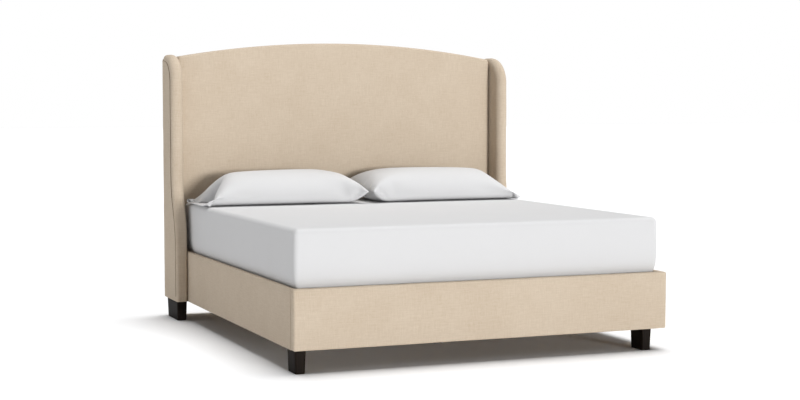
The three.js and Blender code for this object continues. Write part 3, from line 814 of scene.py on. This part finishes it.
def head_section(x, inset, low, high):
    """One open section of the headboard's cover: under edge, face, top edge and back, as points at x."""
    crest = arch_height(x, high[2]) - inset
    front = low[1] + inset
    base = low[2] + inset
    under = [(low[1] + HEAD_UNDER_DEPTH - part, base) for part in (0.0, HEAD_UNDER_STRIP)]
    lower = [(front + y, base + z) for y, z in quarter(HEAD_EDGE, 6)]
    face = [(front, z) for z in np.linspace(base + HEAD_EDGE, crest - HEAD_EDGE, HEAD_FACE_POINTS)[1:-1]]
    upper = [(front + y, crest - z) for z, y in quarter(HEAD_EDGE, 8)]
    over = [(y, crest) for y in np.linspace(front + HEAD_EDGE, high[1] - HEAD_BACK_EDGE, 6)[1:]]
    tail = [(high[1], crest - HEAD_BACK_EDGE), (high[1], crest - HEAD_BACK_TURN)]
    return [(x, y, z) for y, z in under + lower + face + upper + over + tail]


def build_headboard():
    low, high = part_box("headboard_front_cover")
    half = (high[0] - low[0]) / 2
    flat = half - HEAD_EDGE
    end = [(half, HEAD_END_INSET)] + [(half - step, inset) for inset, step in quarter(HEAD_EDGE, 6)]
    middle = [(x, 0.0) for x in np.linspace(flat, -flat, HEAD_COLUMNS)[1:-1]]
    other_end = [(-x, inset) for x, inset in reversed(end)]
    rows = np.array([head_section(x, inset, low, high) for x, inset in end + middle + other_end])
    count, around = rows.shape[:2]
    faces = [
        (i * around + j, (i + 1) * around + j, (i + 1) * around + j + 1, i * around + j + 1)
        for i in range(count - 1)
        for j in range(around - 1)
    ]
    piece = make_piece("headboard_upholstery", rows.reshape(-1, 3), faces, LINEN)
    points = read_points(piece)
    face = np.clip(1 - np.abs(points[:, 1] - low[1]) / FACE_DEPTH, 0, 1)
    fullness = np.cos(np.clip(points[:, 0] / half, -1, 1) * math.pi / 2) ** 0.5
    ripple = sum(smooth_noise(points, size, seed) * height for size, seed, height in HEAD_RIPPLES)
    points[:, 1] += face * (ripple - HEAD_CROWN * fullness)
    write_points(piece, points)
    modifier(piece, "SOLIDIFY", thickness=SKIN, offset=1.0)
    modifier(piece, "SUBSURF", levels=1, render_levels=1)
    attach(piece, "root")
    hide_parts("headboard_front_cover")


def build_staples():
    """Staples that hold the back lining's turned edge to the headboard's frame, all round."""
    low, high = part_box("headboard_back_cover")
    edge = high[0] - STAPLE_MARGIN
    places = []
    for x in np.linspace(-edge, edge, 2 * round(edge / STAPLE_STEP) + 1):
        places.append((x, low[2] + STAPLE_MARGIN, 1.0, 0.0))
        places.append((x, arch_height(x, high[2]) - STAPLE_MARGIN, 1.0, 0.0))
    top = arch_height(edge, high[2]) - STAPLE_MARGIN
    for z in np.arange(low[2] + STAPLE_MARGIN + STAPLE_STEP, top - STAPLE_STEP / 2, STAPLE_STEP):
        places += [(-edge, z, 0.0, 1.0), (edge, z, 0.0, 1.0)]
    paths = []
    for x, z, along_x, along_z in places:
        reach_x, reach_z = along_x * STAPLE_WIDTH / 2, along_z * STAPLE_WIDTH / 2
        paths.append([(x + side * reach_x, high[1] + out, z + side * reach_z) for side, out in STAPLE_BENDS])
    staples = wire("lining_staples", paths, STAPLE_WIRE, STAPLE)
    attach(staples, "root")


def keep_folds_sharp(piece):
    shade_smooth(piece)
    modifier(piece, "EDGE_SPLIT", split_angle=math.radians(50))


def build_side_rail(side, sign):
    """A side rail's cover: hollow round its board, and open on the inner side between its lips."""
    node = f"side_rail_cover_{side}"
    low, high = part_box(node)
    name = f"side_rail_upholstery_{side}"
    piece = soft_box(name, low, high, SIDE_RAIL_CORNER, SIDE_RAIL_EDGE, RAIL_STEP, LINEN)
    soften(piece, amount=0.0006, size=0.16, seed=21 + sign)
    board_low, board_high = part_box(f"side_rail_board_{side}")
    gap = Vector((BOARD_GAP, CUT_PAST_END, BOARD_GAP))
    cut_away(piece, board_low - gap, board_high + gap)
    inner = low[0] if sign > 0 else high[0]
    cut_away(
        piece,
        (inner - SIDE_RAIL_SKIN, low[1] - CUT_PAST_END, low[2] + RAIL_LIP),
        (inner + SIDE_RAIL_SKIN, high[1] + CUT_PAST_END, high[2] - RAIL_LIP),
    )
    keep_folds_sharp(piece)
    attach(piece, "root")
    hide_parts(node)


def build_foot_rail():
    """The foot rail's cover: crowned in front, hollow round its board, and open between its lips behind."""
    low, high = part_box("foot_rail_cover")
    piece = soft_box("foot_rail_upholstery", low, high, RAIL_EDGE, RAIL_EDGE, RAIL_STEP, LINEN)
    points = read_points(piece)
    facing = np.clip(1 - (points[:, 1] - low[1]) / FACE_DEPTH, 0, 1)
    height = np.clip((points[:, 2] - low[2]) / (high[2] - low[2]), 0, 1)
    points[:, 1] -= facing * RAIL_CROWN * np.sin(height * math.pi)
    write_points(piece, points)
    soften(piece, amount=0.0008, size=0.19, seed=31)
    board_low, board_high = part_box("foot_rail_board")
    gap = Vector([BOARD_GAP] * 3)
    cut_away(piece, board_low - gap, board_high + gap)
    cut_away(
        piece,
        (low[0] + RAIL_END, board_high[1] - CUT_INTO_BOARD, low[2] + RAIL_LIP),
        (high[0] - RAIL_END, high[1] + CUT_PAST_BACK, high[2] - RAIL_LIP),
    )
    keep_folds_sharp(piece)
    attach(piece, "root")
    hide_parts("foot_rail_cover")


# ---------------- legs


def build_leg(node):
    """A square leg with eased corners that narrows towards the floor."""
    low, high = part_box(node)
    middle = (low + high) / 2
    piece = soft_box(f"{node}_finish", low, high, LEG_CORNER, LEG_EDGE, LEG_STEP, ESPRESSO)
    points = read_points(piece)
    height = (points[:, 2] - low[2]) / (high[2] - low[2])
    loss = LEG_TAPER * (1 - height)
    for axis in (0, 1):
        half = (high[axis] - low[axis]) / 2
        points[:, axis] = middle[axis] + (points[:, axis] - middle[axis]) * (1 - loss / half)
    write_points(piece, points)
    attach(piece, "root")
    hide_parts(node)


# ---------------- bedding


def bulge_sides(piece, low, high):
    """Lets a block's upright sides swell a little at mid height and turn in towards its under face."""
    points = read_points(piece)
    middle, half = (low + high) / 2, (high - low) / 2
    height = np.clip((points[:, 2] - low[2]) / (high[2] - low[2]), 0, 1)
    tuck = SHEET_TUCK * np.clip(1 - (points[:, 2] - low[2]) / TUCK_HEIGHT, 0, 1) ** 2
    swell = MATTRESS_SWELL * np.sin(height * math.pi) - tuck
    for axis in (0, 1):
        share = (points[:, axis] - middle[axis]) / half[axis]
        near_side = np.clip((np.abs(share) - (1 - SIDE_ZONE)) / SIDE_ZONE, 0, 1)
        points[:, axis] += np.sign(share) * near_side * swell
    write_points(piece, points)


def build_mattress():
    low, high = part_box("mattress")
    inset = Vector([MATTRESS_INSET] * 3)
    low, high = low + inset, high - inset
    mattress = soft_box("mattress_block", low, high, MATTRESS_CORNER, MATTRESS_EDGE, MATTRESS_STEP, TICKING)
    bulge_sides(mattress, low, high)
    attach(mattress, "mattress")
    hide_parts("mattress")
    return mattress


def open_bottom(piece, low, high, margin):
    """Takes away the middle of a box's under face and leaves a band of this width round it."""
    build = bmesh.new()
    build.from_mesh(piece.data)
    lost = []
    for face in build.faces:
        centre = face.calc_center_median()
        inside = all(low[axis] + margin < centre[axis] < high[axis] - margin for axis in (0, 1))
        if inside and centre[2] < low[2] + 0.001:
            lost.append(face)
    bmesh.ops.delete(build, geom=lost, context="FACES")
    build.to_mesh(piece.data)
    build.free()


def build_sheet(mattress):
    """A fitted sheet, stretched over the mattress and gathered under it by its elastic."""
    low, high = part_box("fitted_sheet")
    sheet = soft_box("fitted_sheet_cloth", low, high, MATTRESS_CORNER, MATTRESS_EDGE, SHEET_STEP, COTTON)
    bulge_sides(sheet, low, high)
    open_bottom(sheet, low, high, SHEET_UNDER)
    soften(sheet, amount=0.0007, size=0.21, seed=41)
    modifier(sheet, "SUBSURF", levels=1, render_levels=1)
    modifier(sheet, "SOLIDIFY", thickness=SHEET_THICK, offset=-1.0)
    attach(sheet, "mattress")
    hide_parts("fitted_sheet")


def stuffing_share(along):
    """How much filling there is this far along the case: full, then fading towards the open end."""
    return min(1.0, max(0.0, 1.0 - (along - STUFFED_TO) / STUFFING_FADE))


def sewn_case():
    """The case before it is filled, as rows of points round it, from the closed inner end to the hem."""
    rows = []
    for i in range(CASE_ROWS + 1):
        along = i / CASE_ROWS
        taper = min(1.0, along / CLOSED_END) ** CLOSED_POWER
        fill = FIRST_THICKNESS * taper * max(LEAST_FILL, stuffing_share(along))
        angles = 2 * math.pi * np.arange(CASE_AROUND) / CASE_AROUND
        across = -CASE_WIDTH / 2 * np.cos(angles)
        up = fill * np.sin(angles)
        up[[0, CASE_AROUND // 2]] = 0.0
        rows.append(np.stack([np.full(CASE_AROUND, CASE_LENGTH * along), across, up], axis=1))
    return np.array(rows)


def case_numbers():
    """The mesh point that each place in the rows uses. Top and bottom meet along the inner end."""
    numbers = np.zeros((CASE_ROWS + 1, CASE_AROUND), dtype=int)
    for j in range(CASE_AROUND):
        numbers[0, j] = min(j, CASE_AROUND - j)
    first = CASE_AROUND // 2 + 1
    numbers[1:] = first + np.arange(CASE_ROWS * CASE_AROUND).reshape(CASE_ROWS, CASE_AROUND)
    return numbers


def case_faces(numbers):
    faces = []
    for i in range(len(numbers) - 1):
        for j in range(CASE_AROUND):
            k = (j + 1) % CASE_AROUND
            corners = (numbers[i, j], numbers[i + 1, j], numbers[i + 1, k], numbers[i, k])
            faces.append([int(corner) for corner in dict.fromkeys(corners)])
    return faces


def case_points(rows, numbers):
    points = np.zeros((numbers.max() + 1, 3))
    points[numbers.ravel()] = rows.reshape(-1, 3)
    return points


def bare_object(name, points, faces):
    mesh = bpy.data.meshes.new(name)
    mesh.from_pydata([tuple(map(float, point)) for point in points], [], faces)
    made = bpy.data.objects.new(name, mesh)
    bpy.context.scene.collection.objects.link(made)
    return made


def firm_bed():
    """The mattress top that the pillow settles on. The case's hem reaches a little past its edge."""
    xs = np.array([FIRM_BED_START, CASE_LENGTH - HEM_OVERHANG])
    zs = np.array([-PILLOW_DROP - FIRM_BED_DEPTH, -PILLOW_DROP])
    points, faces = box_faces(xs, np.array(FIRM_BED_SIDES), zs)
    bed = bare_object("firm_bed", points, faces)
    modifier(bed, "COLLISION")
    bed.collision.thickness_outer = 0.003
    bed.collision.cloth_friction = 15.0
    bed.collision.damping = 0.5
    return bed


def set_cloth(case):
    cloth = modifier(case, "CLOTH")
    settings = {
        "quality": 7,
        "mass": 0.08,
        "tension_stiffness": 40.0,
        "compression_stiffness": 40.0,
        "shear_stiffness": 20.0,
        "bending_stiffness": 2.5,
        "bending_model": "ANGULAR",
        "tension_damping": 5.0,
        "compression_damping": 5.0,
        "shear_damping": 5.0,
        "bending_damping": 0.5,
        "air_damping": 1.0,
        "use_pressure": True,
        "uniform_pressure_force": 0.0,
        "use_pressure_volume": True,
        "target_volume": STUFFING_VOLUME,
        "pressure_factor": STUFFING_PRESSURE,
        "vertex_group_pressure": "stuffed",
    }
    for key, value in settings.items():
        setattr(cloth.settings, key, value)
    cloth.settings.effector_weights.gravity = 0.5
    cloth.collision_settings.use_collision = True
    cloth.collision_settings.distance_min = 0.004
    cloth.collision_settings.use_self_collision = False
    cloth.point_cache.frame_start = 1
    cloth.point_cache.frame_end = PILLOW_FRAMES


def settled_case():
    """Fills the case, lets it drop on the bed, and gives its rows of points as it lies."""
    rows = sewn_case()
    numbers = case_numbers()
    case = bare_object("case", case_points(rows, numbers), case_faces(numbers))
    group = case.vertex_groups.new(name="stuffed")
    for i in range(CASE_ROWS + 1):
        group.add([int(number) for number in numbers[i]], stuffing_share(i / CASE_ROWS), "REPLACE")
    bed = firm_bed()
    set_cloth(case)
    scene = bpy.context.scene
    for step in range(1, PILLOW_FRAMES + 1):
        scene.frame_set(step)
    bake_modifiers(case)
    settled = read_points(case)[numbers]
    for done in (case, bed):
        bpy.data.objects.remove(done)
    scene.frame_set(1)
    return settled


def relax(rows):
    """Eases the sharp bends out of the settled case, away from its two ends."""
    rows = rows.copy()
    along = np.arange(CASE_ROWS + 1) / CASE_ROWS
    share = np.clip((along - RELAX_FROM) / RELAX_RISE, 0, 1) * np.clip((RELAX_TO - along) / RELAX_FALL, 0, 1)
    for _ in range(RELAX_STEPS):
        around = (np.roll(rows, 1, axis=1) + np.roll(rows, -1, axis=1)) / 2
        lengthwise = rows.copy()
        lengthwise[1:-1] = (rows[:-2] + rows[2:]) / 2
        pull = RELAX_AROUND * (around - rows) + RELAX_ALONG * (lengthwise - rows)
        rows += pull * share[:, None, None] * RELAX_PULL
    return rows


def lay_on_bed(rows, sign, top):
    """Takes the settled case's rows to their place on the mattress."""
    rows = rows.copy()
    tuck = np.array([HEM_TUCK * ease(x, *HEM_TUCK_SPAN) for x in rows[..., 0].ravel()])
    rows[..., 0] = sign * (rows[..., 0] - tuck.reshape(rows.shape[:2]) + PILLOW_OFFSET)
    rows[..., 1] += PILLOW_CENTRE_Y
    rows[..., 2] += top + PILLOW_DROP - PILLOW_SINK
    return rows


def press_hem(piece, numbers):
    """Presses in the line of stitching that holds the case's hem."""
    points = read_points(piece)
    line = numbers[HEM_ROW]
    points[line] -= read_normals(piece)[line] * HEM_DEPTH
    write_points(piece, points)


def build_filling(side, rows):
    """The pillow inside its case, held off the case all round and rounded at the case's open end."""
    last = int(CASE_ROWS * FILLING_TO)
    body = []
    for i in range(1, last + 1):
        ring = rows[i]
        centre = ring.mean(axis=0)
        share = max(0.0, (i / last - (1 - FILLING_ROUND)) / FILLING_ROUND)
        scale = FILLING_SIZE * math.sqrt(max(0.02, 1.0 - share * share))
        body.append(centre + (ring - centre) * np.array([1.0, scale, min(scale, FILLING_DEPTH)]))
    filling = loft(f"pillow_filling_{side}", body, TICKING)
    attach(filling, f"pillow_{side}")
    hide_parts(f"pillow_{side}")
    return filling


def build_pillow(side, sign, settled):
    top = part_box("fitted_sheet")[1][2]
    rows = lay_on_bed(settled, sign, top)
    numbers = case_numbers()
    case = make_piece(f"pillowcase_cloth_{side}", case_points(rows, numbers), case_faces(numbers), COTTON)
    press_hem(case, numbers)
    modifier(case, "SUBSURF", levels=1, render_levels=1)
    modifier(case, "SOLIDIFY", thickness=CASE_THICK, offset=-1.0)
    filling = build_filling(side, rows)
    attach(case, f"pillow_{side}")
    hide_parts(f"pillowcase_{side}")


# ---------------- CAD nodes that keep their shape


def dress(names, material, edge=0.0):
    """Gives these CAD nodes a material and, where edge isn't 0, a small bevel of that width."""
    for name in names:
        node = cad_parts[name]
        node.data.materials.clear()
        node.data.materials.append(material)
        if edge:
            bevel = modifier(node, "BEVEL", width=edge, segments=2, limit_method="ANGLE")
            bevel.angle_limit = math.radians(35)


def both(name):
    return [f"{name}_left", f"{name}_right"]


def dress_frame():
    slats = [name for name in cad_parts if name.startswith("slat_") and "strap" not in name]
    uprights = [*both("headboard_post"), *both("corner_block"), "centre_leg_1", "centre_leg_2"]
    dress([*slats, "headboard_top_rail", "headboard_bottom_rail", "foot_rail_board"], PINE_ACROSS, SAWN_EDGE)
    dress(["centre_beam", *both("side_ledger")], PINE_ALONG, SAWN_EDGE)
    dress(uprights, PINE_UP, SAWN_EDGE)
    dress(["headboard_panel", *both("side_rail_board"), *both("wing_board")], PLYWOOD)
    dress(["headboard_foam"], FOAM)
    dress(both("slat_strap"), WEBBING)
    dress(["headboard_back_cover"], LINING)
    dress(["beam_shoe_foot", "beam_shoe_head", *both("rail_bracket")], STEEL, PRESSED_EDGE)
    dress(["foot_screw_1", "foot_screw_2"], STEEL)
    dress(["foot_pad_1", "foot_pad_2"], NYLON)


# ---------------- studio


def build_floor():
    mesh = bpy.data.meshes.new("floor")
    corners = [(x * FLOOR_REACH, y * FLOOR_REACH, 0) for x, y in ((-1, -1), (1, -1), (1, 1), (-1, 1))]
    mesh.from_pydata(corners, [], [(0, 1, 2, 3)])
    floor = bpy.data.objects.new("floor", mesh)
    bpy.context.scene.collection.objects.link(floor)
    surface = Surface("floor_white", 0.9, Specular_IOR_Level=0.0)
    surface.colour(FLOOR_WHITE)
    mesh.materials.append(surface.material)


def soft_sun(name, towards, strength, spread):
    """Even light from one direction. towards points from the bed to the light."""
    data = bpy.data.lights.new(name, "SUN")
    data.energy = strength
    data.angle = math.radians(spread)
    light = bpy.data.objects.new(name, data)
    light.rotation_euler = Vector(towards).to_track_quat("Z", "Y").to_euler()
    bpy.context.scene.collection.objects.link(light)


def build_lights():
    world = bpy.data.worlds.new("studio")
    world.use_nodes = True
    nodes, links = world.node_tree.nodes, world.node_tree.links
    seen = nodes.new("ShaderNodeLightPath")
    level = nodes.new("ShaderNodeMapRange")
    level.inputs["To Min"].default_value = WORLD_LIGHT
    level.inputs["To Max"].default_value = WORLD_BACKDROP
    links.new(seen.outputs["Is Camera Ray"], level.inputs["Value"])
    links.new(level.outputs[0], nodes["Background"].inputs["Strength"])
    nodes["Background"].inputs["Color"].default_value = (1, 1, 1, 1)
    bpy.context.scene.world = world
    for name, (towards, strength, spread) in SUNS.items():
        soft_sun(name, towards, strength, spread)
    bpy.context.scene.view_settings.view_transform = "Standard"


def build_camera():
    data = bpy.data.cameras.new("camera")
    data.lens = CAMERA_LENS
    data.sensor_width = SENSOR
    camera = bpy.data.objects.new("camera", data)
    camera.location = CAMERA_PLACE
    camera.rotation_euler = (math.pi / 2 - CAMERA_DIP, 0.0, CAMERA_TURN)
    bpy.context.scene.collection.objects.link(camera)
    bpy.context.scene.camera = camera


build_camera()
build_lights()
build_floor()
dress_frame()
build_headboard()
build_staples()
settled_pillow = relax(settled_case())
for side, sign in (("left", -1), ("right", 1)):
    build_wing(side, sign)
    build_wing_seam(side, sign)
    build_wing_foam(side, sign)
    build_side_rail(side, sign)
    build_pillow(side, sign, settled_pillow)
build_foot_rail()
for node in [*both("leg_front"), *both("leg_back")]:
    build_leg(node)
build_sheet(build_mattress())
